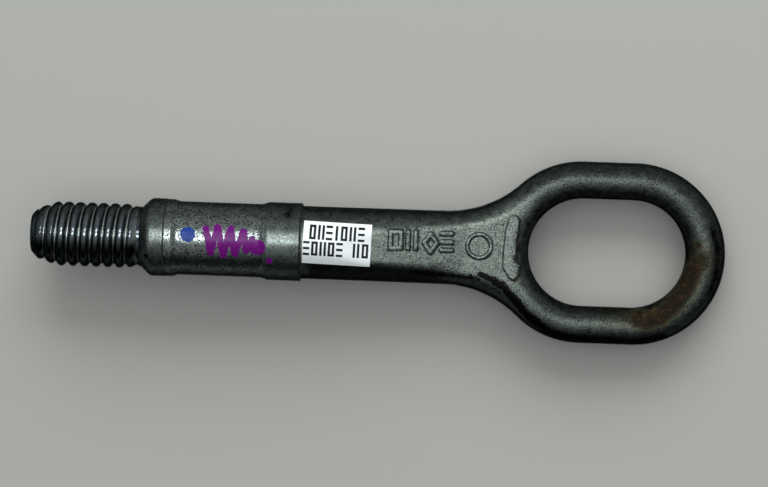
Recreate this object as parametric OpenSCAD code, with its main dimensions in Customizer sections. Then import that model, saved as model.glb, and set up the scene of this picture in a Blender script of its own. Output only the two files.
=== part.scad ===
// Screw-in tow eye: one steel forging with a rolled round thread, two guide
// lands, a round shank and a flat web that spreads into the eye, and a paper
// stock label stuck on the shank. Millimetres. Each piece is drawn along x
// from the tip of the thread and then laid on the ground as it comes to rest.

/* [Thread] */
// Diameter over the crests
thread_d = 22; // [21:0.25:23]
// Distance from one crest to the next
thread_pitch = 4; // [3:0.25:5]
// Height of the crests above the roots
thread_depth = 1.3; // [0.9:0.1:1.8]
// Length from the tip to the end of the last turn
thread_len = 36.8; // [30:0.4:44]
// Hand of the thread
thread_hand = "left"; // ["left", "right"]
// Diameter of the flat end face
tip_d = 13.6; // [10:0.2:16]
// Length of the chamfer behind the end face
tip_chamfer = 2; // [1:0.25:3]
// Length over which the crests grow to full height
lead_len = 8.5; // [4:0.5:12]
// Length over which the thread fades into the neck
run_out_len = 4.6; // [2:0.2:7]

/* [Neck and guide lands] */
// Diameter of the plain neck behind the thread
neck_d = 20.4; // [19:0.2:21]
// Length of the neck
neck_len = 0.8; // [0.4:0.2:4]
// Diameter of the two guide lands
land_d = 26.6; // [25.8:0.1:28]
// Radius on the front corner of the first land
land_corner = 2.6; // [1:0.2:3]
// Turned length of the first land, front corner included
land_1_len = 8.5; // [6:0.5:14]
// Forged length between the turned land and the waist
land_1_rear = 2.2; // [1:0.2:4]
// Diameter of the waist between the lands
waist_d = 25.1; // [24:0.1:25.5]
// Length of the waist
waist_len = 27.7; // [18:0.3:40]
// Length of each ramp between a land and the waist
ramp_len = 2.4; // [1:0.2:4]
// Length of the second land
land_2_len = 11.3; // [6:0.5:16]
// Depth of the turned line round each land
line_depth = 0.25; // [0.1:0.05:0.4]
// Width of the turned line
line_w = 0.5; // [0.3:0.1:0.8]

/* [Shank and web] */
// Diameter of the round shank
shank_d = 24.8; // [24:0.1:25.2]
// Length of fully round shank behind the second land
shank_len = 3; // [3:0.5:8]
// Length from the round shank to the opening
web_len = 74.4; // [68:1:90]
// Depth of the flats below the crown
flat_depth = 0.8; // [0.4:0.1:1.4]
// Length over which each flat sinks to that depth
flat_ramp = 20; // [16:1:26]
// Radius of the hollow curve between shank and eye
web_fillet_r = 37; // [30:1:44]

/* [Eye] */
// Width of the opening
hole_w = 36.8; // [34:0.4:40]
// Length of the opening
hole_len = 53.3; // [50:0.3:60]
// Width over the eye
eye_w = 61.8; // [58:0.2:66]
// Thickness of the eye across its flat side
eye_thk = 14.4; // [13.6:0.2:16]
// Width of the bar at the far end of the eye
end_bar_w = 13.3; // [12:0.1:15]
// Plan width over which the bar rounds off
bar_round = 6.1; // [5.5:0.1:6.1]
// Height of the trimmed band round the parting line
trim_h = 2; // [1:0.2:3]
// Distance by which the near end of the outline runs ahead of the opening
eye_lead = 0.5; // [0:0.1:1.5]

/* [Label] */
// Length of the label along the shank
label_len = 23; // [18:0.2:26]
// Width of the label across the shank
label_w = 14.2; // [10:0.2:18]
// Thickness of the label
label_thk = 0.15; // [0.1:0.05:0.3]
// Angle by which the label is stuck on askew
label_turn = 1.6; // [0:0.2:1.6]
// Gap from the second land to the label
label_gap = 0.4; // [0.4:0.1:1]
// Distance of the label's middle from the crown of the shank
label_shift = 0.8; // [0:0.1:1.5]

/* [Hidden] */
$fn = 96;

// Steel and paper
steel_color = [0.33, 0.37, 0.36];
paper_color = [0.93, 0.94, 0.94];

// Radii
thread_r = thread_d / 2;
root_r = thread_r - thread_depth;
neck_r = neck_d / 2;
land_r = land_d / 2;
waist_r = waist_d / 2;
shank_r = shank_d / 2;
hole_r = hole_w / 2;
eye_r = eye_w / 2;

// A forged end face stays this much inside the turned face it meets
face_step = 0.03;
forge_r = shank_r - face_step;
// The thread and the forged web each run this far into the turned body
joint_lap = 0.4;
// Clearance between the label and the steel under it
label_clear = 0.08;
// Width of the soft edge between the flats and the round
soften = 0.6;
// Height of the thread's root above the end face at the tip
root_start = 0.8;
// Roundness of the bottom of the thread's grooves, as a share of their depth
groove_soft = 0.35;

// Stations along the axis
neck_end = thread_len + neck_len;
cone_len = land_r - neck_r;
land_1_x = neck_end + cone_len;
line_x = neck_end + land_1_len;
land_1_end = line_x + land_1_rear;
waist_x = land_1_end + ramp_len;
waist_end = waist_x + waist_len;
land_2_x = waist_end + ramp_len;
land_2_end = land_2_x + land_2_len;
shank_end = land_2_end + shank_len;
hole_x = shank_end + web_len;
total_len = hole_x + hole_len + end_bar_w;

// Arc centres of the opening and of the outline round it
hole_near = hole_x + hole_r;
hole_far = hole_x + hole_len - hole_r;
eye_near = hole_near - eye_lead;
eye_far = total_len - eye_r;

// Centre of the hollow curve, and the angle at which it meets the eye
fillet_y = forge_r + web_fillet_r;
fillet_x = eye_near - sqrt(pow(web_fillet_r + eye_r, 2) - pow(fillet_y, 2));
meet_a = 90 + acos(fillet_y / (web_fillet_r + eye_r));

// Steps of the meshes
turn_steps = 30;
pitch_steps = 8;
round_steps = 5;
hole_steps = 8;
web_steps = 17;
near_steps = 8;
far_steps = 28;
label_steps = [9, 14];

// Common curves
function ease(t) = let (u = min(1, max(0, t))) u * u * (3 - 2 * u);
function mix(a, b, t) = a + (b - a) * t;
function soft_min(a, b, k) = let (h = max(k - abs(a - b), 0) / k) min(a, b) - h * h * k / 4;
function rise(t) = t >= 1 ? 1 : t <= 0 ? 0 : sqrt(1 - (1 - t) * (1 - t));
function arc(c, r, a0, a1, n) = [for (i = [0:n]) let (a = mix(a0, a1, i / n)) c + r * [cos(a), sin(a)]];
function quad(a, b, c, d) = [[a, b, c], [a, c, d]];

// Thread: crest and root heights along the axis, with broad crests and narrow round grooves
lead_r = tip_d / 2 + tip_chamfer;
full_x = thread_len - run_out_len;
function crest_at(x) = min(
    tip_d / 2 + x,
    lead_r + (thread_r - lead_r) * max(0, x - tip_chamfer) / (lead_len - tip_chamfer),
    mix(thread_r, neck_r - face_step, ease((x - full_x) / run_out_len)));
function root_at(x) = min(
    crest_at(x),
    mix(tip_d / 2 + root_start, root_r, min(1, x / lead_len)),
    mix(root_r, neck_r - face_step, ease((x - full_x + 1) / (run_out_len + 1))));
function crest_shape(p) =
    let (
        whole = sqrt(1 + groove_soft * groove_soft) - groove_soft,
        wave = (norm([cos(180 * p), groove_soft]) - groove_soft) / whole)
    1 - pow(1 - wave, 1.5);
hand = thread_hand == "left" ? 1 : -1;
function thread_radius(x, a) = mix(root_at(x), crest_at(x), crest_shape(x / thread_pitch + hand * a / 360));

module rolled_thread() {
    rows = ceil(thread_len / thread_pitch * pitch_steps);
    n = turn_steps;
    points = [
        for (i = [0:rows + 1], j = [0:n - 1])
        let (x = thread_len * min(1, i / rows), a = 360 * j / n, r = thread_radius(x, a))
        [i > rows ? x + joint_lap : x, r * cos(a), r * sin(a)]
    ];
    sides = [
        for (i = [0:rows], j = [0:n - 1])
        let (k = (j + 1) % n)
        each quad(i * n + j, (i + 1) * n + j, (i + 1) * n + k, i * n + k)
    ];
    tip = [[for (j = [0:n - 1]) j]];
    back = [[for (j = [n - 1:-1:0]) (rows + 1) * n + j]];
    polyhedron(points, concat(sides, tip, back));
}

// Turned profile from the neck to the end of the round shank
function turned_profile() = concat(
    [[thread_len, 0], [thread_len, neck_r], [neck_end, neck_r]],
    arc([land_1_x + land_corner * tan(22.5), land_r - land_corner], land_corner, 135, 90, 5),
    [
        [line_x - line_w / 2, land_r],
        [line_x, land_r - line_depth],
        [line_x + line_w / 2, land_r - line_depth / 2],
        [land_1_end, land_r - line_depth / 2]
    ],
    ramp_points(land_1_end, waist_x, land_r - line_depth / 2, waist_r),
    ramp_points(waist_end, land_2_x - line_w, waist_r, land_r - line_depth),
    [
        [land_2_x, land_r],
        [land_2_end - 2 * line_w, land_r],
        [land_2_end - line_w, land_r + line_depth / 3],
        [land_2_end, land_r]
    ],
    arc([land_2_end + land_r - shank_r, land_r], land_r - shank_r, 180, 270, 4),
    [[shank_end, shank_r], [shank_end, 0]]);
function ramp_points(x0, x1, r0, r1) = [for (i = [1:5]) [mix(x0, x1, i / 5), mix(r0, r1, ease(i / 5))]];

module turned_body() {
    rotate([90, 0, 90])
        rotate_extrude()
            polygon([for (p = turned_profile()) [p[1], p[0]]]);
}

// Plan distances from a point to the outline and to the edge of the opening
function outline_gap(p) =
    let (x = p[0], y = abs(p[1]), c = [fillet_x, fillet_y])
    x <= fillet_x ? forge_r - y :
    (x - eye_near) * sin(meet_a) < y * cos(meet_a) ? norm([x, y] - c) - web_fillet_r :
    eye_r - norm([x - min(eye_far, max(eye_near, x)), y]);
function hole_gap(p) = norm([p[0] - min(hole_far, max(hole_near, p[0])), p[1]]) - hole_r;

// Height of the forged surface over the parting plane
blend_end = hole_x + bar_round / 2;
function spread(x) = ease((x - shank_end) / (blend_end - shank_end));
function crown(x) = mix(forge_r, eye_thk / 2, spread(x));
function sink(x) = ease((x - shank_end) / flat_ramp) * ease(4 * (1 - spread(x)));
function flat_top(x) = crown(x) + soften - (flat_depth + soften) * sink(x);
function trim_at(x) = mix(0.3, trim_h / 2, spread(x));
function height(p) =
    let (
        x = p[0],
        flank = crown(x) * rise(outline_gap(p) / mix(forge_r, bar_round, spread(x))),
        top = soft_min(flank, flat_top(x), soften),
        low = trim_at(x))
    low + max(0, top - low) * rise(hole_gap(p) / bar_round) * (top > low ? 1 : 0);

// Points across the bar from the outline to the opening, as shares of its width
across = concat(
    [for (i = [0:round_steps]) 0.5 * (1 - cos(90 * i / round_steps))],
    [for (i = [round_steps - 1:-1:0]) 1 - 0.5 * (1 - cos(90 * i / round_steps))]);
bar_steps = len(across) - 1;

// Rays round the eye from one meeting angle to the other, on the outline and on the opening
ray_angles = concat(
    [for (i = [0:near_steps]) [0, mix(-meet_a, -90, i / near_steps)]],
    [for (i = [0:far_steps]) [1, mix(-90, 90, i / far_steps)]],
    [for (i = [0:near_steps]) [0, mix(90, meet_a, i / near_steps)]]);
rays = len(ray_angles) - 1;
function on_arc(near, far, r, ray) = [ray[0] == 0 ? near : far, 0] + r * [cos(ray[1]), sin(ray[1])];
function bar_point(i, t) = mix(
    on_arc(eye_near, eye_far, eye_r, ray_angles[i]),
    on_arc(hole_near, hole_far, hole_r, ray_angles[i]),
    across[t]);

// Right edge of the web: up one ray, round the near end of the opening, and out along the other
half = bar_steps + hole_steps;
function web_right(j) =
    j <= bar_steps ? bar_point(0, j) :
    j >= 2 * half - bar_steps ? bar_point(rays, 2 * half - j) :
    let (a = 180 + (half - j) / hole_steps * (180 - meet_a)) [hole_near, 0] + hole_r * [cos(a), sin(a)];
// Left edge: the round end face, as an angle from its top
end_angle = 88.6;
function end_turn(j) = end_angle * (j - half) / half;
function web_left(j) = [shank_end, forge_r * sin(end_turn(j))];
// Outline from the meeting point back to the shank
fillet_arc = (meet_a - 90) * PI / 180 * web_fillet_r;
edge_len = fillet_arc + fillet_x - shank_end;
function web_edge(c) =
    let (s = c * edge_len)
    s > fillet_arc ? [fillet_x - (s - fillet_arc), mix(forge_r, web_left(2 * half)[1], c == 1 ? 1 : 0)] :
    let (a = meet_a + 180 - s / web_fillet_r * 180 / PI) [fillet_x, fillet_y] + web_fillet_r * [cos(a), sin(a)];
function web_share(k) =
    k <= round_steps ? bar_round * (1 - cos(90 * k / round_steps)) / web_len :
    mix(bar_round / web_len, 1, (k - round_steps) / web_steps);
web_rows = round_steps + web_steps;
function web_point(k, j) =
    let (
        c = web_share(k),
        l = abs(j - half) / half,
        side = j < half ? [1, -1] : [1, 1],
        edge = web_edge(c),
        outer = j < half ? 0 : 2 * half,
        mid = [mix(hole_x, shank_end, c), 0])
    mix(web_right(j), web_left(j), c) + (1 - l) * mid + l * [edge[0], edge[1] * side[1]]
    - mix((1 - l) * [hole_x, 0] + l * web_right(outer), (1 - l) * [shank_end, 0] + l * web_left(outer), c);

module forged_eye() {
    bar_rows = bar_steps + 1;
    web_rows_w = 2 * half + 1;
    ring_points = [for (i = [0:rays], t = [0:bar_steps]) bar_point(i, t)];
    rim_points = [for (j = [bar_steps + 1:2 * half - bar_steps - 1]) web_right(j)];
    web_points = [for (k = [1:web_rows], j = [0:2 * half]) web_point(k, j)];
    lap_points = [for (j = [0:2 * half]) web_left(j) - [joint_lap, 0]];
    plan = concat(ring_points, rim_points, web_points, lap_points);
    n = len(plan);
    last = n - 2 * web_rows_w;
    rise_at = [
        for (i = [0:n - 1])
        i >= last ? forge_r * cos(end_turn((i - last) % web_rows_w)) : height(plan[i])
    ];
    points = concat(
        [for (i = [0:n - 1]) [plan[i][0], plan[i][1], rise_at[i]]],
        [for (i = [0:n - 1]) [plan[i][0], plan[i][1], -rise_at[i]]]);

    function ring_id(i, t) = i * bar_rows + t;
    function web_id(k, j) =
        k > 0 ? len(ring_points) + len(rim_points) + (k - 1) * web_rows_w + j :
        j <= bar_steps ? ring_id(0, j) :
        j >= 2 * half - bar_steps ? ring_id(rays, 2 * half - j) :
        len(ring_points) + j - bar_steps - 1;

    top = concat(
        [for (i = [0:rays - 1], t = [0:bar_steps - 1])
            each quad(ring_id(i, t), ring_id(i, t + 1), ring_id(i + 1, t + 1), ring_id(i + 1, t))],
        [for (k = [0:web_rows], j = [0:2 * half - 1])
            each quad(web_id(k, j), web_id(k + 1, j), web_id(k + 1, j + 1), web_id(k, j + 1))]);
    bottom = [for (f = top) [f[2] + n, f[1] + n, f[0] + n]];
    function wall(a, b) = quad(a, b, b + n, a + n);
    walls = concat(
        [for (i = [0:rays - 1]) each wall(ring_id(i, 0), ring_id(i + 1, 0))],
        [for (i = [0:rays - 1]) each wall(ring_id(i + 1, bar_steps), ring_id(i, bar_steps))],
        [for (k = [0:web_rows]) each wall(web_id(k + 1, 0), web_id(k, 0))],
        [for (k = [0:web_rows]) each wall(web_id(k, 2 * half), web_id(k + 1, 2 * half))],
        [for (j = [bar_steps:2 * half - bar_steps - 1]) each wall(web_id(0, j), web_id(0, j + 1))]);
    end = [concat(
        [for (j = [0:2 * half]) web_id(web_rows + 1, j) + n],
        [for (j = [2 * half:-1:0]) web_id(web_rows + 1, j)])];
    polyhedron(points, concat(top, bottom, walls, end));
}

// At rest the part lies on the eye and on the rear edge of the second land
rest_x = total_len - end_bar_w / 2;
rest_tilt = max(
    atan((shank_r - eye_thk / 2) / (rest_x - shank_end)),
    atan((land_r + line_depth / 3 - eye_thk / 2) / (rest_x - land_2_end + line_w)));
rest_lift = eye_thk / 2 * cos(rest_tilt) + rest_x * sin(rest_tilt);
rest_mid = (total_len * cos(rest_tilt) - tip_d / 2 * sin(rest_tilt)) / 2;
module laid() {
    translate([-rest_mid, 0, rest_lift])
        rotate([0, rest_tilt, 0])
            children();
}

module tow_eye() {
    color(steel_color)
        laid()
            union() {
                rolled_thread();
                turned_body();
                forged_eye();
            }
}

// The label follows the steel, which is round beside it and flat under its middle
module stock_label() {
    label_x = land_2_end + land_r - shank_r + label_gap + label_len / 2;
    nu = label_steps[0];
    nv = label_steps[1];
    turn = [cos(label_turn), -sin(label_turn)];
    plan = [
        for (i = [0:nu], j = [0:nv])
        let (u = label_len * (i / nu - 0.5), v = label_w * (j / nv - 0.5))
        [label_x + u * turn[0] - v * turn[1], label_shift + u * turn[1] + v * turn[0]]
    ];
    n = len(plan);
    points = concat(
        [for (p = plan) [p[0], p[1], height(p) + label_clear + label_thk]],
        [for (p = plan) [p[0], p[1], height(p) + label_clear]]);
    top = [
        for (i = [0:nu - 1], j = [0:nv - 1])
        let (a = i * (nv + 1) + j, b = a + nv + 1)
        each quad(a, a + 1, b + 1, b)
    ];
    bottom = [for (f = top) [f[2] + n, f[1] + n, f[0] + n]];
    function wall(a, b) = quad(a, b, b + n, a + n);
    walls = concat(
        [for (j = [0:nv - 1]) each wall(j + 1, j)],
        [for (j = [0:nv - 1]) each wall(nu * (nv + 1) + j, nu * (nv + 1) + j + 1)],
        [for (i = [0:nu - 1]) each wall(i * (nv + 1), (i + 1) * (nv + 1))],
        [for (i = [0:nu - 1]) each wall((i + 1) * (nv + 1) + nv, i * (nv + 1) + nv)]);
    color(paper_color)
        laid()
            polyhedron(points, concat(top, bottom, walls));
}

tow_eye();
stock_label();
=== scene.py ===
# Screw-in tow eye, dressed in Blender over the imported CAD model.
# Shapes are worked out in millimetres from the tip of the thread and then laid down as the CAD lies.
import math
import bmesh
import bpy
import numpy as np
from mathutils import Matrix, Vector, noise


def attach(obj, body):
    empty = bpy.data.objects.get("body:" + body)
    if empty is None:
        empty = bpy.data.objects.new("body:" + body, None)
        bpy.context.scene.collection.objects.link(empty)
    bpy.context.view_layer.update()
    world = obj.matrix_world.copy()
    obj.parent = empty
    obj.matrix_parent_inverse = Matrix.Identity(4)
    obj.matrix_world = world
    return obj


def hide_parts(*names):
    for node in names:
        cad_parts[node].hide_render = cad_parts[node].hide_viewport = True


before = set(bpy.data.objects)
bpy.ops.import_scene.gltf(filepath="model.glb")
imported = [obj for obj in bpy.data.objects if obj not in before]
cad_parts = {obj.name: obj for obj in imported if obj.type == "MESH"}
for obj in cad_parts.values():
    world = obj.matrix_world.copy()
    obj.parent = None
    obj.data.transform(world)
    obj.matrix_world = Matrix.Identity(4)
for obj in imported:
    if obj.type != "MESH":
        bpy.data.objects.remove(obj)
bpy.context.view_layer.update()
print("frame loaded")


# common tools
def toLinear(hexColour):
    channels = [int(hexColour[i:i + 2], 16) / 255 for i in (1, 3, 5)]
    return [c / 12.92 if c <= 0.04045 else ((c + 0.055) / 1.055) ** 2.4 for c in channels] + [1]


def addNode(tree, kind, settings, links=None):
    node = tree.nodes.new(kind)
    for name, value in settings.items():
        if isinstance(name, int) or name in node.inputs:
            node.inputs[name].default_value = value
        else:
            setattr(node, name, value)
    for name, source in (links or {}).items():
        tree.links.new(source, node.inputs[name])
    return node


def startMaterial(name):
    material = bpy.data.materials.new(name)
    material.use_nodes = True
    material.node_tree.nodes.clear()
    return material, material.node_tree


def ease(t):
    u = np.clip(t, 0, 1)
    return u * u * (3 - 2 * u)


def mix(a, b, t):
    return a + (b - a) * t


def softMin(a, b, k):
    h = np.maximum(k - np.abs(a - b), 0) / k
    return np.minimum(a, b) - h * h * k / 4


def rise(t):
    u = np.clip(t, 0, 1)
    return np.sqrt(1 - (1 - u) ** 2)


def distanceToPath(x, y, path):
    best = np.full(np.shape(x), 1e9)
    for (ax, ay), (bx, by) in zip(path[:-1], path[1:]):
        dx, dy = bx - ax, by - ay
        t = np.clip(((x - ax) * dx + (y - ay) * dy) / max(dx * dx + dy * dy, 1e-9), 0, 1)
        best = np.minimum(best, np.hypot(x - ax - t * dx, y - ay - t * dy))
    return best


# how the CAD lies on the floor: its small tilt, the height of its axis at the tip, and half its length
rest = dict(tiltSin=0.0448105, tiltCos=0.9989955, lift=17.474537, mid=117.779063)
# weld and collapse distances in metres, and the angle in degrees past which an edge is drawn sharp
meshCare = dict(weld=3e-6, collapse=1e-6, sharpAngle=38)


def laidDown(points):
    x, y, z = points[..., 0], points[..., 1], points[..., 2]
    s, c = rest["tiltSin"], rest["tiltCos"]
    return np.stack([x * c + z * s - rest["mid"], y, -x * s + z * c + rest["lift"]], -1) / 1000


# each piece keeps its flat-lying millimetres in "place", which the patterns of its materials read
def makePiece(name, points, faces, fields=None):
    mesh = bpy.data.meshes.new(name)
    mesh.from_pydata(laidDown(points).tolist(), [], faces)
    placeField = mesh.attributes.new("place", "FLOAT_VECTOR", "POINT")
    placeField.data.foreach_set("vector", points.astype(np.float32).ravel())
    for fieldName, values in (fields or {}).items():
        field = mesh.attributes.new(fieldName, "FLOAT", "POINT")
        field.data.foreach_set("value", values.astype(np.float32).ravel())
    bm = bmesh.new()
    bm.from_mesh(mesh)
    bmesh.ops.remove_doubles(bm, verts=bm.verts, dist=meshCare["weld"])
    bmesh.ops.dissolve_degenerate(bm, edges=bm.edges, dist=meshCare["collapse"])
    for edge in bm.edges:
        if len(edge.link_faces) == 2 and edge.calc_face_angle(0) > math.radians(meshCare["sharpAngle"]):
            edge.smooth = False
    for face in bm.faces:
        face.smooth = True
    bm.to_mesh(mesh)
    bm.free()
    piece = bpy.data.objects.new(name, mesh)
    bpy.context.scene.collection.objects.link(piece)
    return piece


def placeOf(piece):
    values = np.zeros(len(piece.data.vertices) * 3, dtype=np.float32)
    piece.data.attributes["place"].data.foreach_get("vector", values)
    return values.reshape(-1, 3)


def gridFaces(rows, columns, start=0, flip=False, closed=False):
    faces = []
    for i in range(rows - 1):
        for j in range(columns if closed else columns - 1):
            k = (j + 1) % columns
            quad = (start + i * columns + j, start + (i + 1) * columns + j,
                    start + (i + 1) * columns + k, start + i * columns + k)
            faces.append(quad[::-1] if flip else quad)
    return faces


# shape of the forging, as in the CAD
thread = dict(radius=11, depth=1.3, pitch=4, length=36.8, tipRadius=6.8, chamfer=2, lead=8.5, rootStart=0.8,
              runOut=4.6, grooveSoft=0.45, crestPower=1.5, turns=128, rowsPerPitch=32)
turned = dict(neckR=10.2, neckEnd=37.6, landR=13.3, corner=2.6, lineX=46.1, lineDepth=0.25, lineWidth=0.5,
              land1End=48.3, waistX=50.7, waistR=12.55, waistEnd=78.4, land2X=80.8, land2End=92.1,
              shankR=12.4, shankEnd=95.1)
eye = dict(holeX=169.5, holeR=18.4, holeNear=187.9, holeFar=204.4, near=187.4, far=205.2, radius=30.9,
           thickness=14.4, round=6.1, trim=2, shankTrim=0.3, filletR=37, flatDepth=0.8, flatRamp=20,
           soften=0.6, seamAngle=88.6)


def threadRadius(x, turn):
    t = thread
    fullX = t["length"] - t["runOut"]
    neck = turned["neckR"] - 0.03
    leadR = t["tipRadius"] + t["chamfer"]
    leadShare = np.maximum(0, x - t["chamfer"]) / (t["lead"] - t["chamfer"])
    crest = np.minimum(t["tipRadius"] + x, leadR + (t["radius"] - leadR) * leadShare)
    crest = np.minimum(crest, mix(t["radius"], neck, ease((x - fullX) / t["runOut"])))
    rootR = t["radius"] - t["depth"]
    root = np.minimum(crest, mix(t["tipRadius"] + t["rootStart"], rootR, np.minimum(1, x / t["lead"])))
    root = np.minimum(root, mix(rootR, neck, ease((x - fullX + 1) / (t["runOut"] + 1))))
    soft = t["grooveSoft"]
    wave = (np.hypot(np.cos(np.pi * (x / t["pitch"] + turn)), soft) - soft) / (math.hypot(1, soft) - soft)
    wave = 1 - (1 - wave) ** t["crestPower"]
    return mix(root, crest, wave), wave * (crest - root) / t["depth"]


def turnedProfile():
    t = turned
    land1X = t["neckEnd"] + t["landR"] - t["neckR"]
    points = [(thread["length"], t["neckR"])]
    points += [(x, t["neckR"]) for x in np.linspace(thread["length"] + 0.1, t["neckEnd"], 4)]
    # shoulder at 45 degrees, with a round corner
    cx, cr = land1X + t["corner"] * math.tan(math.radians(22.5)), t["landR"] - t["corner"]
    start = (cx - t["corner"] * math.sin(math.radians(45)), cr + t["corner"] * math.cos(math.radians(45)))
    points += [(mix(t["neckEnd"], start[0], u), mix(t["neckR"], start[1], u)) for u in np.linspace(0.15, 0.9, 5)]
    points += [(cx - t["corner"] * math.sin(a), cr + t["corner"] * math.cos(a))
               for a in np.radians(np.linspace(45, 0, 9))]
    # first land with its fine turned line
    points += [(x, t["landR"]) for x in np.linspace(cx + 0.4, t["lineX"] - t["lineWidth"] / 2, 4)]
    low = t["landR"] - t["lineDepth"] / 2
    points += [(t["lineX"], t["landR"] - t["lineDepth"]), (t["lineX"] + t["lineWidth"] / 2, low)]
    points += [(x, low) for x in np.linspace(t["lineX"] + 0.5, t["land1End"], 5)]
    # waist
    points += [(mix(t["land1End"], t["waistX"], u), mix(low, t["waistR"], float(ease(u))))
               for u in np.linspace(0.1, 1, 10)]
    points += [(x, t["waistR"]) for x in np.linspace(t["waistX"] + 0.6, t["waistEnd"], 20)]
    end, top = t["land2X"] - t["lineWidth"], t["landR"] - t["lineDepth"]
    points += [(mix(t["waistEnd"], end, u), mix(t["waistR"], top, float(ease(u)))) for u in np.linspace(0.1, 1, 10)]
    # second land, with a small raised lip at its end, and the shank
    points += [(x, t["landR"]) for x in np.linspace(t["land2X"], t["land2End"] - 2 * t["lineWidth"], 12)]
    points += [(t["land2End"] - t["lineWidth"], t["landR"] + t["lineDepth"] / 3), (t["land2End"], t["landR"])]
    r = t["landR"] - t["shankR"]
    points += [(t["land2End"] + r - r * math.cos(a), t["landR"] - r * math.sin(a))
               for a in np.radians(np.linspace(12, 90, 7))]
    points += [(x, t["shankR"]) for x in np.linspace(t["land2End"] + r + 0.3, t["shankEnd"], 6)]
    return np.array(points)


filletY = turned["shankR"] + eye["filletR"]
filletX = eye["near"] - math.sqrt((eye["filletR"] + eye["radius"]) ** 2 - filletY ** 2)
meetA = 90 + math.degrees(math.acos(filletY / (eye["filletR"] + eye["radius"])))
webLength = eye["holeX"] - turned["shankEnd"]


def outlineGap(x, y):
    y = np.abs(y)
    m = math.radians(meetA)
    onFillet = np.hypot(x - filletX, y - filletY) - eye["filletR"]
    onEye = eye["radius"] - np.hypot(x - np.clip(x, eye["near"], eye["far"]), y)
    gap = np.where((x - eye["near"]) * math.sin(m) < y * math.cos(m), onFillet, onEye)
    return np.where(x <= filletX, turned["shankR"] - y, gap)


def holeGap(x, y):
    return np.hypot(x - np.clip(x, eye["holeNear"], eye["holeFar"]), y) - eye["holeR"]


# half the thickness of web and eye at a place, and how far it falls towards the opening there
def forgedHeight(x, y):
    spread = ease((x - turned["shankEnd"]) / (eye["holeX"] + eye["round"] / 2 - turned["shankEnd"]))
    crown = mix(turned["shankR"], eye["thickness"] / 2, spread)
    sink = ease((x - turned["shankEnd"]) / eye["flatRamp"]) * ease(4 * (1 - spread))
    flat = crown + eye["soften"] - (eye["flatDepth"] + eye["soften"]) * sink
    flank = crown * rise(outlineGap(x, y) / mix(turned["shankR"], eye["round"], spread))
    top = softMin(flank, flat, eye["soften"])
    low = mix(eye["shankTrim"], eye["trim"] / 2, spread)
    height = low + np.maximum(0, top - low) * rise(holeGap(x, y) / eye["round"])
    return height, top - height


# raised marks on the flat: plain shapes, a plain ring, and the curved arrow that points round the eye
# level is how much of the web's fall towards the opening they make up for, so that the arrow lies nearly flat
marks = dict(height=0.5, edge=0.5, halfWidth=0.5, level=0.75, arrowInset=0.15)
markPaths = [
    [(122.9, 5.6), (126.4, 5.6), (126.4, 0.0), (122.9, 0.0), (122.9, 5.6)],
    [(128.8, 5.7), (128.8, 0.0)], [(131.4, 5.7), (131.4, 0.0)],
    [(136.4, 5.2), (138.6, 2.1), (136.4, -1.0), (134.2, 2.1), (136.4, 5.2)],
    [(140.1, 5.4), (143.6, 5.4)], [(140.1, 2.6), (143.6, 2.6)], [(140.1, -0.2), (143.6, -0.2)],
]
ringMark = dict(x=152.8, y=1.6, radius=4.0, halfWidth=0.3)
arrow = [(162.5, 10.4), (162.7, 11.6), (163.5, 12.2), (164.8, 12.1), (165.8, 11.6), (166.1, 10.5), (165.7, 6.3),
         (165.2, 1.5), (165.1, -3.3), (166.9, -4.6), (166.3, -8.0), (165.0, -9.9), (163.2, -8.6), (161.0, -5.4),
         (161.1, -1.5), (161.2, 1.2), (161.6, 6.6)]


def insideOutline(x, y, corners):
    inside = np.zeros(np.shape(x), bool)
    for (ax, ay), (bx, by) in zip(corners, corners[1:] + corners[:1]):
        crosses = (ay > y) != (by > y)
        inside ^= crosses & (x < (bx - ax) * (y - ay) / (by - ay if by != ay else 1e-9) + ax)
    return np.where(inside, 1, -1) * distanceToPath(x, y, corners + corners[:1])


def markShare(x, y):
    depth = np.full(np.shape(x), -9.0)
    for path in markPaths:
        depth = np.maximum(depth, marks["halfWidth"] - distanceToPath(x, y, path))
    ring = np.abs(np.hypot(x - ringMark["x"], y - ringMark["y"]) - ringMark["radius"])
    depth = np.maximum(depth, ringMark["halfWidth"] - ring)
    depth = np.maximum(depth, insideOutline(x, y, arrow) - marks["arrowInset"])
    return ease((depth + marks["edge"]) / marks["edge"])


# where rust and black grime lie, and the bands of painted shade along the lower edges, as the photograph shows them
# from above a spot is strength, radius, x, y; a band is strength, radius, path
rustBands = [(0.85, 6.0, [(207.5, -21.0), (210.5, -21.8), (214.5, -20.3), (219.2, -16.0), (222.8, -10.5),
                          (225.0, -4.0)])]
rustSpots = [(0.7, 3.0, 226.3, 4.3), (0.62, 8.5, 227.5, -1.0), (0.6, 1.6, 165.2, -9.6)]
# the first two bands are painted shade along the lower edges of the eye and the web; the third darkens the far end of
# the eye
darkBands = [(0.7, 3.4, [(176.0, -26.5), (183.0, -28.6), (192.0, -29.4), (206.0, -29.6), (216.0, -27.5)]),
              (0.52, 2.6, [(130.0, -7.7), (138.0, -8.3), (146.0, -8.8), (153.0, -9.6)]),
              (0.5, 3.4, [(230.8, 10.0), (233.0, 4.0), (233.2, -4.0), (231.3, -12.0)])]
grimeSpots = [(0.5, 6.5, 88.2, 10.4), (0.7, 1.6, 40.5, -5.6), (0.75, 2.6, 35.0, -3.6)]
# the band of painted shade under the web widens towards the eye
webLowerShade = dict(strength=0.8, radius=2.0, widening=0.9, widenX=153, widenLength=8,
                path=[(153.4, -8.0), (157.5, -9.6), (162.0, -12.4), (166.0, -16.6), (170.0, -21.5), (176.0, -26.0)])
below = dict(rustZ=-4, rust=0.6, grimeAndShade=0.5)  # share that is left on the underside


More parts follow.
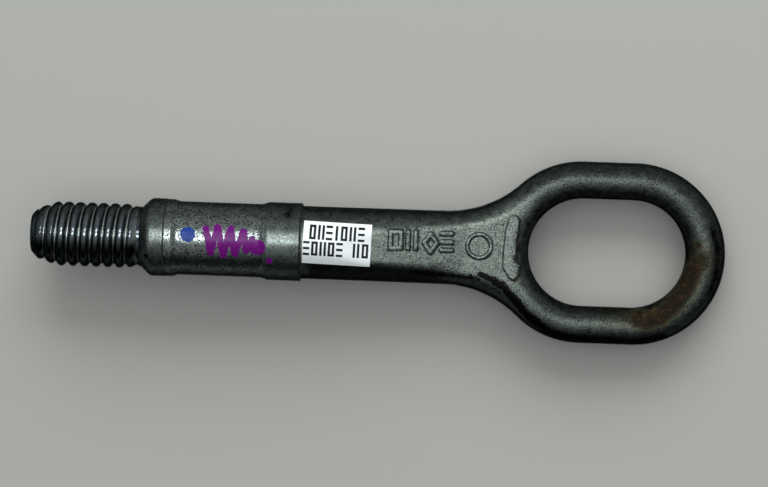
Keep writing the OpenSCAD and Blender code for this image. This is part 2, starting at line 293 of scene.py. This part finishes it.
def strongest(x, y, spots, bands):
    most = np.zeros(np.shape(x))
    for strength, radius, cx, cy in spots:
        most = np.maximum(most, strength * np.clip(1 - np.hypot(x - cx, y - cy) / radius, 0, 1))
    for strength, radius, path in bands:
        most = np.maximum(most, strength * np.clip(1 - distanceToPath(x, y, path) / radius, 0, 1))
    return most


def surfaceFields(points):
    x, y, z = points[..., 0], points[..., 1], points[..., 2]
    rust = strongest(x, y, rustSpots, rustBands)
    wider = np.clip((x - webLowerShade["widenX"]) / webLowerShade["widenLength"], 0, 1)
    width = webLowerShade["radius"] + webLowerShade["widening"] * wider
    grimeAndShade = strongest(x, y, grimeSpots, darkBands + [(webLowerShade["strength"], width, webLowerShade["path"])])
    return dict(rust=np.where(z > below["rustZ"], rust, rust * below["rust"]),
                grimeAndShade=np.where(z > 0, grimeAndShade, grimeAndShade * below["grimeAndShade"]))


# round part: thread, lands and waist
def buildRoundPart():
    turns = thread["turns"]
    threadX = np.arange(0, thread["length"] - 0.05, thread["pitch"] / thread["rowsPerPitch"])
    angle = np.arange(turns) / turns
    x, a = np.meshgrid(threadX, angle, indexing="ij")
    radius, crest = threadRadius(x, a)
    profile = turnedProfile()
    xs = np.vstack([x, np.repeat(profile[:, :1], turns, 1)])
    rs = np.vstack([radius, np.repeat(profile[:, 1:], turns, 1)])
    aa = np.vstack([a, np.repeat(angle[None, :], len(profile), 0)]) * 2 * np.pi
    wearAndHighlight = np.vstack([crest, np.zeros((len(profile), turns))])
    points = np.stack([xs, rs * np.cos(aa), rs * np.sin(aa)], -1)
    faces = gridFaces(len(xs), turns, flip=True, closed=True)
    faces.append(tuple(range(turns)))
    faces = [f[::-1] for f in faces]
    return points.reshape(-1, 3), faces, wearAndHighlight.ravel()


# forged part: web and eye, in rows round the opening and along the web
fineSteps = dict(roundSteps=12, holeSteps=34, webSteps=190, nearSteps=16, farSteps=64)
plainSteps = dict(roundSteps=8, holeSteps=14, webSteps=60, nearSteps=12, farSteps=48)


def forgedPlan(roundSteps, holeSteps, webSteps, nearSteps, farSteps):
    turn = 0.5 * (1 - np.cos(np.pi / 2 * np.arange(roundSteps + 1) / roundSteps))
    across = np.concatenate([turn, 1 - turn[-2::-1]])
    barSteps = len(across) - 1
    rays = [(0, a) for a in np.linspace(-meetA, -90, nearSteps + 1)]
    rays += [(1, a) for a in np.linspace(-90, 90, farSteps + 1)]
    rays += [(0, a) for a in np.linspace(90, meetA, nearSteps + 1)]

    def onArc(near, far, r, ray):
        a = math.radians(ray[1])
        return np.array([(far if ray[0] else near) + r * math.cos(a), r * math.sin(a)])

    outer = np.array([onArc(eye["near"], eye["far"], eye["radius"], ray) for ray in rays])
    inner = np.array([onArc(eye["holeNear"], eye["holeFar"], eye["holeR"], ray) for ray in rays])
    ring = outer[:, None, :] + (inner - outer)[:, None, :] * across[None, :, None]
    half = barSteps + holeSteps
    right = np.zeros((2 * half + 1, 2))
    for j in range(2 * half + 1):
        if j <= barSteps:
            right[j] = ring[0, j]
        elif j >= 2 * half - barSteps:
            right[j] = ring[-1, 2 * half - j]
        else:
            a = math.radians(180 + (half - j) / holeSteps * (180 - meetA))
            right[j] = (eye["holeNear"] + eye["holeR"] * math.cos(a), eye["holeR"] * math.sin(a))
    index = np.arange(2 * half + 1) - half
    leftY = turned["shankR"] * np.sin(np.radians(eye["seamAngle"] * index / half))
    left = np.stack([np.full(2 * half + 1, turned["shankEnd"]), leftY], -1)
    filletArc = math.radians(meetA - 90) * eye["filletR"]
    edgeLength = filletArc + filletX - turned["shankEnd"]

    def edgePoint(share):
        s = share * edgeLength
        if s > filletArc:
            return np.array([filletX - (s - filletArc), left[-1, 1] if share == 1 else turned["shankR"]])
        a = math.radians(meetA + 180) - s / eye["filletR"]
        return np.array([filletX + eye["filletR"] * math.cos(a), filletY + eye["filletR"] * math.sin(a)])

    shares = [eye["round"] * (1 - math.cos(math.pi / 2 * k / roundSteps)) / webLength for k in range(roundSteps + 1)]
    shares += list(np.linspace(shares[-1], 1, webSteps + 1)[1:])
    web = np.zeros((len(shares), 2 * half + 1, 2))
    outward = np.abs(index)[:, None] / half
    side = np.where(index < 0, -1, 1)
    outerRight = np.where(index[:, None] < 0, right[0], right[-1])
    outerLeft = np.where(index[:, None] < 0, left[0], left[-1])
    cornerRight = (1 - outward) * np.array([eye["holeX"], 0]) + outward * outerRight
    cornerLeft = (1 - outward) * np.array([turned["shankEnd"], 0]) + outward * outerLeft
    for k, c in enumerate(shares):
        edge = np.stack([np.full(len(side), edgePoint(c)[0]), edgePoint(c)[1] * side], -1)
        middle = np.array([mix(eye["holeX"], turned["shankEnd"], c), 0])
        corners = mix(cornerRight, cornerLeft, c)
        web[k] = mix(right, left, c) + (1 - outward) * middle + outward * edge - corners
    return ring, web


def buildForgedPart():
    points, faces, relief = [], [], []
    count = 0

    def addGrid(grid, flip):
        nonlocal count
        faces.extend(gridFaces(grid.shape[0], grid.shape[1], count, flip))
        points.append(grid.reshape(-1, 3))
        count += grid.shape[0] * grid.shape[1]

    fine = forgedPlan(**fineSteps)
    plain = forgedPlan(**plainSteps)
    for plan, up in ((fine, 1), (plain, -1)):
        for patch, flip in ((plan[0], up > 0), (plan[1], up < 0)):
            x, y = patch[..., 0], patch[..., 1]
            z, fall = forgedHeight(x, y)
            share = markShare(x, y) if up > 0 else np.zeros_like(x)
            addGrid(np.stack([x, y, up * (z + (marks["height"] + marks["level"] * fall) * share)], -1), flip)
            relief.append(share.ravel())
    # the low walls along the seam, from the top's edge to the underside's
    ring, web = fine
    barSteps = 2 * fineSteps["roundSteps"]
    hole = np.concatenate([ring[:, -1], web[0, barSteps:-barSteps][::-1]])
    for line, flip in ((ring[:, 0], True), (hole, False), (web[:, 0], False), (web[:, -1], True)):
        z = forgedHeight(line[:, 0], line[:, 1])[0]
        levels = np.stack([np.column_stack([line, z * level]) for level in (-1, -0.5, 0, 0.5, 1)], 0)
        addGrid(levels, flip)
        relief.append(np.zeros(levels.shape[0] * levels.shape[1]))
    return np.concatenate(points), faces, np.concatenate(relief)


roundPoints, roundFaces, crestShare = buildRoundPart()
forgedPoints, forgedFaces, reliefShare = buildForgedPart()
print("tow eye shaped:", len(roundFaces) + len(forgedFaces), "faces")

# steel finishes
# phosphated and oiled steel, forged or turned: nearly black between the lights, with a grey-green satin bloom
# flank is how much of the colour is left under full painted shade
forgedLook = dict(dark="#2D3230", light="#5D6560", flank=0.15, metallic=0.95, roughLow=0.3, roughHigh=0.46,
                  grainMm=0.55, blotchMm=2.4, blotch=0.4, pitMm=1.1, pitShare=0.19, bumpMm=0.11, turnedLines=0)
waistLook = dict(forgedLook, dark="#343B3A", light="#757E7C", flank=0.55, roughLow=0.2, roughHigh=0.3,
                 grainMm=0.5, blotch=0.3, pitMm=0.9, pitShare=0.44, bumpMm=0.03, turnedLines=0.15)
landLook = dict(forgedLook, dark="#333A39", light="#5F6765", flank=0.55, roughLow=0.28, roughHigh=0.38,
                grainMm=0.5, blotch=0.35, pitMm=0.9, pitShare=0.3, bumpMm=0.02, turnedLines=0.5)
threadLook = dict(forgedLook, dark="#2B3236", light="#454D51", flank=0.34, roughLow=0.13, roughHigh=0.18,
                  grainMm=0.6, blotch=0.3, pitShare=0.1, bumpMm=0.004, turnedLines=0)
# colours of what lies on the steel, in order from bare to covered; the lightened colour is wear and also painted
# highlight, the grime colour is dirt and also painted shade
soiling = dict(highlightAndWear="#9AA29E", highlightAndWearRough=0.34, pit="#141716", pitCore=0.45, grimeAndShade="#0B0C0B", grimeAndShadePatches=1.6,
               stain="#F6E9C4", crust="#151008", ochre="#4A361A", rustGrainMm=0.7, rustRough=0.8, rustMetallic=0.1)
# from where to where each pattern fades in
fades = dict(bloom={"From Min": 0.39, "From Max": 0.6}, pitted={"From Min": 0.36, "From Max": 0.52},
             grimeAndShade={"From Min": 1.14, "From Max": 1.28}, stain={"From Min": 0.1, "From Max": 0.5},
             rust={"From Min": 0.84, "From Max": 1.1}, ochre={"From Min": 0.5, "From Max": 0.66},
             rough={"From Min": 0.3, "From Max": 0.7})
# the kinds of mix that the materials use
colours, numbers = {"data_type": "RGBA"}, {"data_type": "FLOAT"}
multiply = {"data_type": "RGBA", "blend_type": "MULTIPLY"}


def steelMaterial(name, look):
    material, tree = startMaterial(name)
    place = addNode(tree, "ShaderNodeAttribute", dict(attribute_name="place")).outputs["Vector"]
    rust, grimeAndShade, wearAndHighlight, flank = [addNode(tree, "ShaderNodeAttribute", dict(attribute_name=field)).outputs["Fac"]
                                for field in ("rust", "grimeAndShade", "wearAndHighlight", "flank")]
    grain = addNode(tree, "ShaderNodeTexNoise", {"Scale": 1 / look["grainMm"], "Detail": 4, "Roughness": 0.62},
                    {"Vector": place}).outputs[0]
    blotch = addNode(tree, "ShaderNodeTexNoise",
                     {"Scale": 1 / look["blotchMm"], "Detail": 5, "Roughness": 0.6, "Distortion": 0.4},
                     {"Vector": place}).outputs[0]
    pits = addNode(tree, "ShaderNodeTexVoronoi", {"Scale": 1 / look["pitMm"], "Randomness": 1},
                   {"Vector": place}).outputs["Distance"]
    # bloom: the light grey of the phosphate, in fine grain over soft blotches
    bloom = addNode(tree, "ShaderNodeMix", {**numbers, 0: look["blotch"]}, {2: grain, 3: blotch}).outputs[0]
    bloom = addNode(tree, "ShaderNodeMapRange", fades["bloom"], {"Value": bloom}).outputs[0]
    steel = addNode(tree, "ShaderNodeMix", {**colours, 6: toLinear(look["dark"]), 7: toLinear(look["light"])},
                    {0: bloom}).outputs[2]
    # the raised marks' tops are lightened as wear and painted highlight, the thread's crest tops and roots as painted
    # highlight, with a broader sheen
    highlightAndWear = addNode(tree, "ShaderNodeMath", dict(operation="MULTIPLY"), {0: wearAndHighlight, 1: grain}).outputs[0]
    steel = addNode(tree, "ShaderNodeMix", {**colours, 7: toLinear(soiling["highlightAndWear"])}, {0: highlightAndWear, 6: steel}).outputs[2]
    # painted shade: steep sides and the side away from the light are darkened, the flats left lighter
    paintedShading = addNode(tree, "ShaderNodeMapRange", {"To Min": 1, "To Max": look["flank"]}, {"Value": flank}).outputs[0]
    steel = addNode(tree, "ShaderNodeMix", {**multiply, 0: 1}, {6: steel, 7: paintedShading}).outputs[2]
    # small dark pits, about half a millimetre across
    pitMask = addNode(tree, "ShaderNodeMapRange",
                      {"From Min": look["pitShare"], "From Max": look["pitShare"] * soiling["pitCore"]},
                      {"Value": pits}).outputs[0]
    pitted = addNode(tree, "ShaderNodeMapRange", fades["pitted"], {"Value": blotch}).outputs[0]
    pitMask = addNode(tree, "ShaderNodeMath", dict(operation="MULTIPLY"), {0: pitMask, 1: pitted}).outputs[0]
    steel = addNode(tree, "ShaderNodeMix", {**colours, 7: toLinear(soiling["pit"])}, {0: pitMask, 6: steel}).outputs[2]
    # grime and painted shade: black oily dirt, and the painted shade along the lower edges and at the foot of the
    # marks, in broken patches
    patches = addNode(tree, "ShaderNodeMix", {**numbers, 0: 0.5}, {2: grain, 3: blotch}).outputs[0]
    grimeAndShadeEdge = addNode(tree, "ShaderNodeMath", {"operation": "MULTIPLY_ADD", 1: soiling["grimeAndShadePatches"]},
                        {0: patches, 2: grimeAndShade}).outputs[0]
    grimeAndShadeMask = addNode(tree, "ShaderNodeMapRange", fades["grimeAndShade"], {"Value": grimeAndShadeEdge}).outputs[0]
    steel = addNode(tree, "ShaderNodeMix", {**colours, 7: toLinear(soiling["grimeAndShade"])},
                    {0: grimeAndShadeMask, 6: steel}).outputs[2]
    # rust: a thin brown stain, and in it a dark brown crust with an ochre bloom where it is thickest
    stain = addNode(tree, "ShaderNodeMapRange", fades["stain"], {"Value": rust}).outputs[0]
    steel = addNode(tree, "ShaderNodeMix", {**multiply, 7: toLinear(soiling["stain"])}, {0: stain, 6: steel}).outputs[2]
    rustGrain = addNode(tree, "ShaderNodeTexNoise",
                        {"Scale": 1 / soiling["rustGrainMm"], "Detail": 8, "Roughness": 0.75},
                        {"Vector": place}).outputs[0]
    rustGrain = addNode(tree, "ShaderNodeMix", {**numbers, 0: 0.4}, {2: rustGrain, 3: blotch}).outputs[0]
    rustEdge = addNode(tree, "ShaderNodeMath", dict(operation="ADD"), {0: rust, 1: rustGrain}).outputs[0]
    rustMask = addNode(tree, "ShaderNodeMapRange", fades["rust"], {"Value": rustEdge}).outputs[0]
    ochre = addNode(tree, "ShaderNodeMapRange", fades["ochre"], {"Value": rustGrain}).outputs[0]
    rustColour = addNode(tree, "ShaderNodeMix",
                         {**colours, 6: toLinear(soiling["crust"]), 7: toLinear(soiling["ochre"])},
                         {0: ochre}).outputs[2]
    colour = addNode(tree, "ShaderNodeMix", colours, {0: rustMask, 6: steel, 7: rustColour}).outputs[2]
    metallic = addNode(tree, "ShaderNodeMapRange", {"To Min": look["metallic"], "To Max": soiling["rustMetallic"]},
                       {"Value": rustMask}).outputs[0]
    rough = addNode(tree, "ShaderNodeMapRange",
                    {**fades["rough"], "To Min": look["roughLow"], "To Max": look["roughHigh"]},
                    {"Value": blotch}).outputs[0]
    for share, value in ((highlightAndWear, soiling["highlightAndWearRough"]), (rustMask, soiling["rustRough"])):
        rough = addNode(tree, "ShaderNodeMix", {**numbers, 3: value}, {0: share, 2: rough}).outputs[0]
    # relief: grain, pits, rust crust and faint turned lines
    relief = addNode(tree, "ShaderNodeMath", dict(operation="SUBTRACT"), {0: grain, 1: pitMask}).outputs[0]
    relief = addNode(tree, "ShaderNodeMath", dict(operation="ADD"), {0: relief, 1: rustMask}).outputs[0]
    if look["turnedLines"]:
        lines = addNode(tree, "ShaderNodeTexWave",
                        {"bands_direction": "X", "Scale": 0.9, "Distortion": 0.6, "Detail": 2, "Detail Scale": 3},
                        {"Vector": place}).outputs["Fac"]
        relief = addNode(tree, "ShaderNodeMath", {"operation": "MULTIPLY_ADD", 1: look["turnedLines"]},
                         {0: lines, 2: relief}).outputs[0]
    bump = addNode(tree, "ShaderNodeBump", {"Strength": 1, "Distance": look["bumpMm"] / 1000},
                   {"Height": relief}).outputs[0]
    shader = addNode(tree, "ShaderNodeBsdfPrincipled", {"Specular Tint": (0.25, 0.25, 0.25, 1)},
                     {"Base Color": colour, "Metallic": metallic, "Roughness": rough, "Normal": bump})
    addNode(tree, "ShaderNodeOutputMaterial", {}, {"Surface": shader.outputs[0]})
    return material


rolledThread = steelMaterial("oiled_rolled_thread_steel", threadLook)
burnished = steelMaterial("burnished_turned_steel", landLook)
oiledWaist = steelMaterial("oiled_turned_steel", waistLook)
forged = steelMaterial("phosphated_forged_steel", forgedLook)
# each finish reaches this far along the part
steelZones = [(turned["neckEnd"], rolledThread), (turned["lineX"] + 0.3, burnished),
              (turned["land2X"] - 0.6, oiledWaist), (turned["land2End"] + 0.3, burnished), (999, forged)]

# how much the crests and roots are lightened as painted highlight, and the raised marks as wear and painted highlight,
# and the painted shade at the foot of the marks
wearHighlightAndShade = dict(crest=0.2, crestPower=6, root=1.6, rootPower=3, rootX=2.5, rootLength=4, relief=0.1, markFootShade=0.44)

allPoints = np.concatenate([roundPoints, forgedPoints])
allFaces = roundFaces + [tuple(v + len(roundPoints) for v in face) for face in forgedFaces]
fields = surfaceFields(allPoints)
startX = allPoints[:len(crestShare), 0]
rootHighlight = (1 - crestShare) ** wearHighlightAndShade["rootPower"] * ease((startX - wearHighlightAndShade["rootX"]) / wearHighlightAndShade["rootLength"])
rootHighlight *= startX < thread["length"] - 0.1
fields["wearAndHighlight"] = np.concatenate([crestShare ** wearHighlightAndShade["crestPower"] * wearHighlightAndShade["crest"] + rootHighlight * wearHighlightAndShade["root"],
                                 reliefShare * wearHighlightAndShade["relief"]])
# painted shade at the foot of the raised marks, added to the grime
markFootShade = np.concatenate([crestShare * 0, 4 * reliefShare * (1 - reliefShare)])
fields["grimeAndShade"] = np.maximum(fields["grimeAndShade"], wearHighlightAndShade["markFootShade"] * markFootShade)
towEye = makePiece("tow_eye_forging", allPoints, allFaces, fields)
slots = []
for edge, material in steelZones:
    if material not in slots:
        slots.append(material)
        towEye.data.materials.append(material)
places = placeOf(towEye)
for polygon in towEye.data.polygons:
    x = float(np.mean([places[v][0] for v in polygon.vertices]))
    polygon.material_index = slots.index(next(m for edge, m in steelZones if x < edge))


# painted shade: the steel is darkened where it turns away from the top, less on the side that faces the light
# each start is where the shade begins, and each over is how far on it is full
paintedShadeSettings = dict(turnStart=0.9, turnOver=0.56, lightShare=0.3, farSideShare=0.5, farSideEnd=172,
               threadStart=0.04, threadOver=0.32, eyeStrength=0.6, eyeStart=161, eyeOver=14,
               shankStrength=0.9, shankSide=-3.6, shankOver=3.2, shankStart=94, shankRise=2, shankEnd=150, shankFade=14)


def paintedShadeField(piece):
    o = paintedShadeSettings
    normals = np.zeros(len(piece.data.vertices) * 3, dtype=np.float32)
    piece.data.vertices.foreach_get("normal", normals)
    normals = normals.reshape(-1, 3)
    placeX, placeY, placeZ = placeOf(piece).T
    normals *= np.where(normals[:, 2] * placeZ < 0, -1, 1)[:, None]  # all outward
    paintedShading = ease((o["turnStart"] - np.abs(normals[:, 2])) / o["turnOver"])
    paintedShading *= 1 - o["lightShare"] * np.clip(2 * normals[:, 1], -0.3, 1)
    # less painted shade on the sides that face towards the eye end
    paintedShading *= 1 - o["farSideShare"] * np.clip(2 * normals[:, 0], 0, 1) * (placeX < o["farSideEnd"])
    # painted shade on the lower half of the thread
    onThread = ease((o["threadStart"] - normals[:, 1]) / o["threadOver"]) * (placeX < thread["length"])
    # painted shade over the whole eye, and along the lower edge of the shank's flat
    onEye = o["eyeStrength"] * ease((placeX - o["eyeStart"]) / o["eyeOver"])
    onShank = o["shankStrength"] * ease((o["shankSide"] - placeY) / o["shankOver"])
    onShank *= ease((placeX - o["shankStart"]) / o["shankRise"]) * ease((o["shankEnd"] - placeX) / o["shankFade"])
    return np.maximum.reduce([paintedShading, onThread, onEye, onShank])


paintedShadeAmount = paintedShadeField(towEye)
# the painted shade goes into the flank attribute that the steel materials read
towEye.data.attributes.new("flank", "FLOAT", "POINT").data.foreach_set("value", paintedShadeAmount.astype(np.float32))
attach(towEye, "root")
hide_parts("tow_eye")
print("tow eye dressed")

# paper stock label with two rows of plain bars: height of each row, and where each sign stands in it
label = dict(x=104.9, y=0.8, length=23, width=14.2, turn=1.6, clear=0.08, thickness=0.15, cell=0.1,
             signW=2.2, signH=4.8, stroke=0.8,
             rows=[(3.6, [(-8.3, "box"), (-5.4, "posts"), (-2.7, "dashes"), (-0.2, "post"), (2.3, "box"),
                          (5.2, "posts"), (8.1, "dashes")]),
                   (-1.9, [(-10.2, "dashes"), (-7.4, "box"), (-4.6, "posts"), (-1.8, "box"), (1.0, "dashes"),
                           (6.6, "posts"), (9.6, "box")])])


def signInk(u, v, kind):
    w, h, stroke = label["signW"] / 2, label["signH"] / 2, label["stroke"]
    if abs(u) > w or abs(v) > h:
        return False
    if kind == "post":
        return abs(u) < stroke / 2
    if kind == "posts":
        return abs(u) > w - stroke
    if kind == "dashes":
        return abs(v) > h - stroke or abs(v) < stroke / 2
    return abs(u) > w - stroke or abs(v) > h - stroke


def buildLabel():
    nu, nv = round(label["length"] / label["cell"]), round(label["width"] / label["cell"])
    u, v = np.meshgrid(np.linspace(-0.5, 0.5, nu + 1) * label["length"],
                       np.linspace(-0.5, 0.5, nv + 1) * label["width"], indexing="ij")
    c, s = math.cos(math.radians(label["turn"])), math.sin(math.radians(label["turn"]))
    x, y = label["x"] + u * c + v * s, label["y"] - u * s + v * c
    z = forgedHeight(np.maximum(x, turned["shankEnd"]), y)[0] + label["clear"]
    top = np.stack([x, y, z + label["thickness"]], -1)
    bottom = np.stack([x, y, z], -1)
    points = np.concatenate([top.reshape(-1, 3), bottom.reshape(-1, 3)])
    half = (nu + 1) * (nv + 1)
    faces = gridFaces(nu + 1, nv + 1) + gridFaces(nu + 1, nv + 1, half, flip=True)
    inked = []
    for i in range(nu):
        for j in range(nv):
            cu, cv = (u[i, j] + u[i + 1, j]) / 2, (v[i, j] + v[i, j + 1]) / 2
            inked.append(any(signInk(cu - signU, cv - rowV, kind)
                             for rowV, signs in label["rows"] for signU, kind in signs))
    inked += [False] * (nu * nv)
    rim = [i * (nv + 1) for i in range(nu + 1)] + [nu * (nv + 1) + j for j in range(1, nv + 1)]
    rim += [i * (nv + 1) + nv for i in range(nu - 1, -1, -1)] + list(range(nv - 1, 0, -1))
    for a, b in zip(rim, rim[1:] + rim[:1]):
        faces.append((a, a + half, b + half, b))
        inked.append(False)
    return points, faces, inked


# coated paper: white with a soft sheen and faint fibres; its print is dull black toner
def paperMaterial(name, base, shade, roughness, specular):
    material, tree = startMaterial(name)
    place = addNode(tree, "ShaderNodeAttribute", dict(attribute_name="place")).outputs["Vector"]
    fibre = addNode(tree, "ShaderNodeTexNoise", {"Scale": 1 / 0.7, "Detail": 5, "Roughness": 0.6},
                    {"Vector": place}).outputs[0]
    soil = addNode(tree, "ShaderNodeTexNoise", {"Scale": 1 / 6, "Detail": 3}, {"Vector": place}).outputs[0]
    tone = addNode(tree, "ShaderNodeMapRange", {"From Min": 0.45, "From Max": 0.75, "To Max": 0.6},
                   {"Value": soil}).outputs[0]
    colour = addNode(tree, "ShaderNodeMix", {**colours, 6: toLinear(base), 7: toLinear(shade)},
                     {0: tone}).outputs[2]
    bump = addNode(tree, "ShaderNodeBump", {"Strength": 0.6, "Distance": 0.00001}, {"Height": fibre}).outputs[0]
    shader = addNode(tree, "ShaderNodeBsdfPrincipled", {"Roughness": roughness, "Specular IOR Level": specular},
                     {"Base Color": colour, "Normal": bump})
    addNode(tree, "ShaderNodeOutputMaterial", {}, {"Surface": shader.outputs[0]})
    return material


labelPoints, labelFaces, inked = buildLabel()
stockLabel = makePiece("paper_stock_label", labelPoints, labelFaces)
stockLabel.data.materials.append(paperMaterial("white_coated_paper", "#E6EFF2", "#D8E2E6", 0.42, 0.5))
stockLabel.data.materials.append(paperMaterial("black_label_print", "#0B0C0E", "#141517", 0.5, 0.12))
for polygon, ink in zip(stockLabel.data.polygons, inked):
    polygon.material_index = 1 if ink else 0
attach(stockLabel, "root")
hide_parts("stock_label")
print("label made")

# paint dot and marker scribble on the waist, by length along the part and arc round it
# the blob and the dots are x, arc, radius and stretch along x
paint = dict(cell=0.14, lift=0.03, waistR=12.6, wobble=0.28, wobbleScale=1.3, scribbleHalf=1.15,
             scribble=[(60.6, 4.6), (62.4, -3.6), (64.6, 5.2), (66.6, -4.4), (69.0, 5.0), (70.6, -3.8),
                       (73.4, 4.0), (74.4, -2.6), (76.4, 1.6)],
             blob=(78.0, -1.2, 2.6, 1.1), dot=(82.3, -5.6, 1.15, 1), blueDot=(54.5, 2.4, 2.6, 1))


def roundSurface(x):
    profile = turnedProfile()
    return np.interp(x, profile[:, 0], profile[:, 1])


def paintedPatch(name, xRange, arcRange, depthOf):
    xs = np.arange(xRange[0], xRange[1], paint["cell"])
    arcs = np.arange(arcRange[0], arcRange[1], paint["cell"])
    x, arc = np.meshgrid(xs, arcs, indexing="ij")
    r = roundSurface(x) + paint["lift"]
    points = np.stack([x, r * np.sin(arc / paint["waistR"]), r * np.cos(arc / paint["waistR"])], -1).reshape(-1, 3)
    mx, ma = x[:-1, :-1] + paint["cell"] / 2, arc[:-1, :-1] + paint["cell"] / 2
    scale = paint["wobbleScale"]
    wobble = np.array([noise.noise(Vector((a * scale, b * scale, 3.7))) for a, b in zip(mx.ravel(), ma.ravel())])
    keep = (depthOf(mx, ma) + paint["wobble"] * wobble.reshape(mx.shape) > 0).ravel()
    faces = [face[::-1] for face, k in zip(gridFaces(len(xs), len(arcs)), keep) if k]
    used = sorted({v for face in faces for v in face})
    renumber = {old: new for new, old in enumerate(used)}
    return makePiece(name, points[used], [tuple(renumber[v] for v in face) for face in faces])


def inBlob(x, arc, blob):
    bx, ba, radius, stretch = blob
    return radius - np.hypot((x - bx) / stretch, arc - ba)


# marker ink and enamel: saturated, thin, a little glossy over the steel
def paintMaterial(name, base, pale):
    material, tree = startMaterial(name)
    place = addNode(tree, "ShaderNodeAttribute", dict(attribute_name="place")).outputs["Vector"]
    streak = addNode(tree, "ShaderNodeTexNoise", {"Scale": 1 / 0.8, "Detail": 4, "Roughness": 0.7},
                     {"Vector": place}).outputs[0]
    # the pale tone in random streaks is partly the paint's own streaking and partly painted glint
    tone = addNode(tree, "ShaderNodeMapRange", {"From Min": 0.6, "From Max": 0.7}, {"Value": streak}).outputs[0]
    colour = addNode(tree, "ShaderNodeMix", {**colours, 6: toLinear(base), 7: toLinear(pale)},
                     {0: tone}).outputs[2]
    bump = addNode(tree, "ShaderNodeBump", {"Strength": 1, "Distance": 0.00002}, {"Height": streak}).outputs[0]
    shader = addNode(tree, "ShaderNodeBsdfPrincipled", {"Roughness": 0.3, "Specular IOR Level": 0.08},
                     {"Base Color": colour, "Normal": bump})
    addNode(tree, "ShaderNodeOutputMaterial", {}, {"Surface": shader.outputs[0]})
    return material


scribble = paintedPatch("marker_scribble", (59, 84.5), (-8, 8), lambda x, a: np.maximum.reduce([
    paint["scribbleHalf"] - distanceToPath(x, a, paint["scribble"]),
    inBlob(x, a, paint["blob"]), inBlob(x, a, paint["dot"])]))
scribble.data.materials.append(paintMaterial("purple_marker_ink", "#62066C", "#9A3CA4"))
paintDot = paintedPatch("blue_paint_dot", (51, 58), (-1, 6), lambda x, a: inBlob(x, a, paint["blueDot"]))
paintDot.data.materials.append(paintMaterial("blue_enamel", "#0F3688", "#86A5D6"))
for piece in (scribble, paintDot):
    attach(piece, "root")
print("paint marks made")

# floor, light and camera
studio = dict(floor="#AFB1AD", floorSize=8, domeWay=(0.0, 0.37, 0.93), domeStart=0.1, domeEnd=0.85,
              bright=0.86, dim=0.015)
view = dict(lens=123.01, sensor=36, place=(0.07823, 0.07943, 0.9), turn=(-4.8952, 5.0412, 1.8740))
# name, power, size, place, and whether diffuse and glossy rays see it
lamps = [("side_softbox", 16.0, (1.4, 0.7), (0.1, 1.2, 0.75), True, False),
         ("ceiling_tube_near", 9.0, (0.5, 0.15), (-0.02, 0.15, 1.38), False, True),
         ("ceiling_tube_far", 5.5, (0.5, 0.15), (-0.02, 0.52, 1.38), False, True)]

bpy.ops.mesh.primitive_plane_add(size=studio["floorSize"], location=(0, 0, 0))
floor = bpy.context.object
floor.name = "floor"
# matte laminate: pale, even and dull, so that it only carries the shadow
floorMaterial, tree = startMaterial("pale_matte_table")
shader = addNode(tree, "ShaderNodeBsdfPrincipled",
                 {"Base Color": toLinear(studio["floor"]), "Roughness": 0.9, "Specular IOR Level": 0.1})
addNode(tree, "ShaderNodeOutputMaterial", {}, {"Surface": shader.outputs[0]})
floor.data.materials.append(floorMaterial)

for name, power, size, place, diffuse, glossy in lamps:
    lampData = bpy.data.lights.new(name, "AREA")
    lampData.shape = "RECTANGLE"
    lampData.size, lampData.size_y = size
    lampData.energy = power
    lamp = bpy.data.objects.new(name, lampData)
    lamp.location = place
    lamp.rotation_euler = (-Vector(place)).to_track_quat("-Z", "Y").to_euler()
    lamp.visible_diffuse, lamp.visible_glossy = diffuse, glossy
    bpy.context.scene.collection.objects.link(lamp)

# a pale sky that is bright overhead and nearly black at the sides
world = bpy.data.worlds.new("soft_room")
bpy.context.scene.world = world
world.use_nodes = True
tree = world.node_tree
tree.nodes.clear()
coordinates = addNode(tree, "ShaderNodeTexCoord", {}).outputs["Generated"]
way = addNode(tree, "ShaderNodeVectorMath", {"operation": "DOT_PRODUCT", 1: studio["domeWay"]},
              {0: coordinates}).outputs["Value"]
strength = addNode(tree, "ShaderNodeMapRange",
                   {"interpolation_type": "SMOOTHSTEP", "From Min": studio["domeStart"],
                    "From Max": studio["domeEnd"], "To Min": studio["dim"], "To Max": studio["bright"]},
                   {"Value": way}).outputs[0]
background = addNode(tree, "ShaderNodeBackground", {"Color": (1, 1, 1, 1)}, {"Strength": strength})
addNode(tree, "ShaderNodeOutputWorld", {}, {"Surface": background.outputs[0]})

cameraData = bpy.data.cameras.new("camera")
cameraData.sensor_width = view["sensor"]
cameraData.lens = view["lens"]
camera = bpy.data.objects.new("camera", cameraData)
camera.location = view["place"]
camera.rotation_euler = [math.radians(a) for a in view["turn"]]
bpy.context.scene.collection.objects.link(camera)
bpy.context.scene.camera = camera
bpy.context.scene.view_settings.view_transform = "Standard"
print("studio set")
